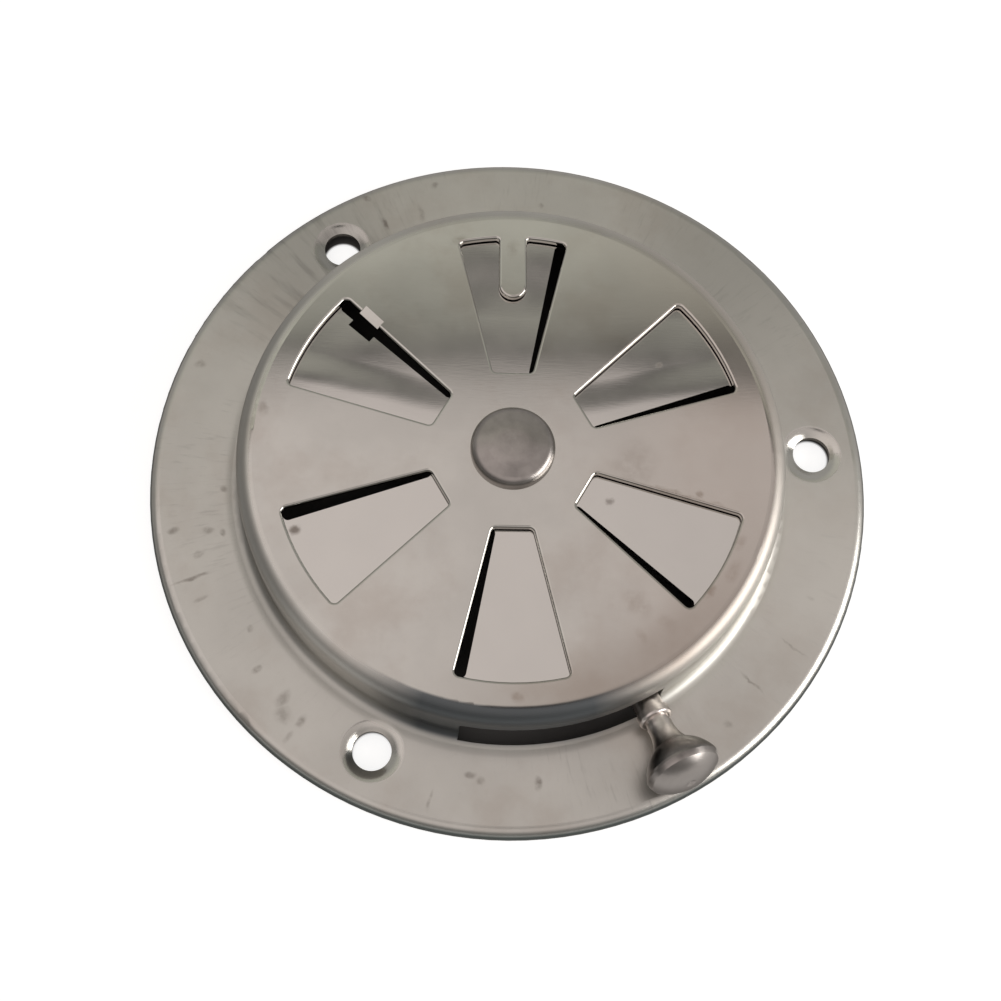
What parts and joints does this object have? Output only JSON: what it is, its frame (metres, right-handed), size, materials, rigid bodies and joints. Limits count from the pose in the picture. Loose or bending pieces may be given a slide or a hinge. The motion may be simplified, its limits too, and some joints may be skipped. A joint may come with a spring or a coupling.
{
  "type": "round smoker vent damper",
  "caption": "Round pressed steel vent with sector openings and a shutter behind the face, turned by a lever knob that runs in a slot of the dome's wall.",
  "frame": {"origin": "centre of the mounting plane, where the rim of the flange rests on the wall", "axes": "+Z out of the front of the vent, +Y through the middle of the opening that has the tongue"},
  "size_m": [0.127, 0.127, 0.0178],
  "materials": {
    "body_sheet": "satin mill finish",
    "shutter_sheet": "bright mill finish",
    "rivet_steel": "turned, dull",
    "washer_steel": "plain",
    "knob_steel": "turned, dull"
  },
  "bodies": {
    "vent": {"vent_body": "body_sheet", "pivot_rivet": "rivet_steel", "tail_washer": "washer_steel"},
    "shutter": {"shutter_disc": "shutter_sheet", "lever_knob": "knob_steel"}
  },
  "joints": [
    {"name": "shutter_turn", "type": "hinge", "parent": "vent", "child": "shutter", "pos_m": [0, 0, 0.0137], "axis": [0, 0, 1], "range_deg": [-35.4, 0]}
  ]
}
